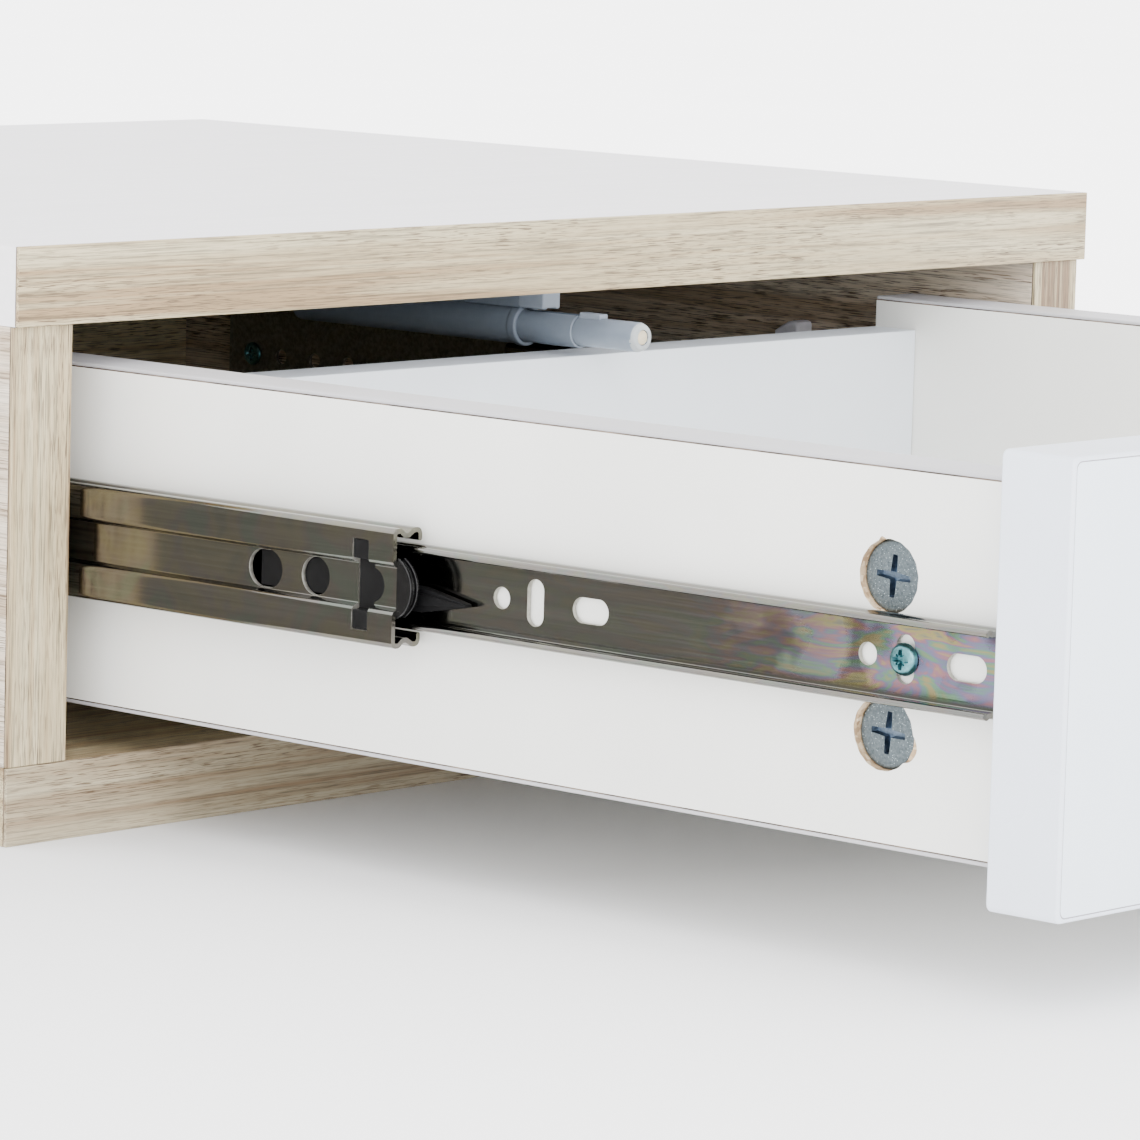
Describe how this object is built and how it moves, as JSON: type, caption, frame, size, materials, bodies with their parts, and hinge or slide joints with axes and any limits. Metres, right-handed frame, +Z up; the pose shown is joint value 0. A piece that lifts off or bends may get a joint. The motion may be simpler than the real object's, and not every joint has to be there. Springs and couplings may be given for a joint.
{
  "type": "under desk drawer",
  "caption": "Shallow inset drawer on full-extension ball slides in its open-fronted compartment under a desk top, with a touch latch and no handle, shown pulled right out.",
  "frame": {"origin": "centre of the bottom panel's underside", "axes": "+X to the right as seen from the drawer's front, +Y from the drawer front towards the back, +Z up"},
  "size_m": [0.3861, 0.622, 0.1353],
  "materials": {
    "oak_laminate": "pale greige oak-effect laminate, satin",
    "desk_top_laminate": "white laminate with an oak-effect edge band, satin",
    "drawer_side_laminate": "warm white laminate, satin",
    "drawer_front_laminate": "cool white laminate, satin",
    "drawer_base_board": "white-faced thin fibreboard, satin",
    "zinc_steel": "zinc-plated sheet steel, passivated",
    "die_cast_zinc": "die-cast zinc, matt",
    "bearing_steel": "bright steel",
    "black_plastic": "black moulded plastic",
    "white_plastic": "white moulded plastic, satin",
    "grey_plastic": "blue-grey moulded plastic, satin",
    "magnet_pad": "cream pad, satin",
    "beech": "bare fluted beech"
  },
  "bodies": {
    "housing": {"bottom_panel": "oak_laminate", "left_divider": "oak_laminate", "right_side_panel": "oak_laminate", "back_panel": "oak_laminate", "top_panel": "desk_top_laminate", "left_lower_front_dowel": "beech", "left_lower_rear_dowel": "beech", "left_upper_front_dowel": "beech", "left_upper_rear_dowel": "beech", "right_lower_front_dowel": "beech", "right_lower_rear_dowel": "beech", "right_upper_front_dowel": "beech", "right_upper_rear_dowel": "beech", "left_outer_rail": "zinc_steel", "right_outer_rail": "zinc_steel", "left_outer_rail_front_screw": "zinc_steel", "left_outer_rail_rear_screw": "zinc_steel", "right_outer_rail_front_screw": "zinc_steel", "right_outer_rail_rear_screw": "zinc_steel", "latch_adapter": "grey_plastic", "latch_sleeve": "grey_plastic", "latch_front_screw": "zinc_steel", "latch_rear_screw": "zinc_steel", "right_side_guide": "white_plastic"},
    "drawer": {"drawer_front": "drawer_front_laminate", "drawer_left_side": "drawer_side_laminate", "drawer_right_side": "drawer_side_laminate", "drawer_back": "drawer_side_laminate", "drawer_bottom": "drawer_base_board", "left_lower_cam_lock": "die_cast_zinc", "left_lower_cam_bolt": "zinc_steel", "left_lower_back_screw": "zinc_steel", "left_upper_cam_lock": "die_cast_zinc", "left_upper_cam_bolt": "zinc_steel", "left_upper_back_screw": "zinc_steel", "right_lower_cam_lock": "die_cast_zinc", "right_lower_cam_bolt": "zinc_steel", "right_lower_back_screw": "zinc_steel", "right_upper_cam_lock": "die_cast_zinc", "right_upper_cam_bolt": "zinc_steel", "right_upper_back_screw": "zinc_steel", "left_inner_rail": "zinc_steel", "right_inner_rail": "zinc_steel", "left_inner_rail_front_screw": "zinc_steel", "left_inner_rail_rear_screw": "zinc_steel", "right_inner_rail_front_screw": "zinc_steel", "right_inner_rail_rear_screw": "zinc_steel"},
    "latch_plunger": {"latch_plunger": "grey_plastic", "latch_magnet_pad": "magnet_pad"},
    "left_mid_rail": {"left_mid_rail": "zinc_steel", "left_end_clip": "black_plastic"},
    "left_outer_cage": {"left_outer_ball_cage": "bearing_steel"},
    "left_inner_cage": {"left_inner_ball_cage": "bearing_steel"},
    "left_lever": {"left_release_lever": "black_plastic"},
    "right_mid_rail": {"right_mid_rail": "zinc_steel", "right_end_clip": "black_plastic"},
    "right_outer_cage": {"right_outer_ball_cage": "bearing_steel"},
    "right_inner_cage": {"right_inner_ball_cage": "bearing_steel"},
    "right_lever": {"right_release_lever": "black_plastic"}
  },
  "joints": [
    {"name": "drawer_slide", "type": "slide", "parent": "housing", "child": "drawer", "axis": [0, -1, 0], "range_m": [-0.282, 0]},
    {"name": "left_mid_rail_slide", "type": "slide", "parent": "housing", "child": "left_mid_rail", "axis": [0, -1, 0], "range_m": [-0.1231, 0]},
    {"name": "left_outer_cage_slide", "type": "slide", "parent": "housing", "child": "left_outer_cage", "axis": [0, -1, 0], "range_m": [-0.0616, 0]},
    {"name": "left_inner_cage_slide", "type": "slide", "parent": "housing", "child": "left_inner_cage", "axis": [0, -1, 0], "range_m": [-0.2026, 0]},
    {"name": "right_mid_rail_slide", "type": "slide", "parent": "housing", "child": "right_mid_rail", "axis": [0, -1, 0], "range_m": [-0.1231, 0]},
    {"name": "right_outer_cage_slide", "type": "slide", "parent": "housing", "child": "right_outer_cage", "axis": [0, -1, 0], "range_m": [-0.0616, 0]},
    {"name": "right_inner_cage_slide", "type": "slide", "parent": "housing", "child": "right_inner_cage", "axis": [0, -1, 0], "range_m": [-0.2026, 0]},
    {"name": "latch_push", "type": "slide", "parent": "housing", "child": "latch_plunger", "axis": [0, -1, 0], "range_m": [-0.0203, 0]},
    {"name": "left_release_press", "type": "hinge", "parent": "drawer", "child": "left_lever", "pos_m": [-0.1647, -0.2515, 0.0655], "axis": [-1, 0, 0], "range_deg": [0, 5], "stiffness_Nm_per_rad": 0.02},
    {"name": "right_release_press", "type": "hinge", "parent": "drawer", "child": "right_lever", "pos_m": [0.1647, -0.2515, 0.0705], "axis": [1, 0, 0], "range_deg": [0, 5], "stiffness_Nm_per_rad": 0.02}
  ],
  "couplings": [
    {"joint": "left_mid_rail_slide", "follows": "drawer_slide", "ratio": 0.43617},
    {"joint": "left_outer_cage_slide", "follows": "drawer_slide", "ratio": 0.21809},
    {"joint": "left_inner_cage_slide", "follows": "drawer_slide", "ratio": 0.71808},
    {"joint": "right_mid_rail_slide", "follows": "drawer_slide", "ratio": 0.43617},
    {"joint": "right_outer_cage_slide", "follows": "drawer_slide", "ratio": 0.21809},
    {"joint": "right_inner_cage_slide", "follows": "drawer_slide", "ratio": 0.71808},
    {"joint": "latch_push", "follows": "drawer_slide", "ratio": 0.071631}
  ]
}
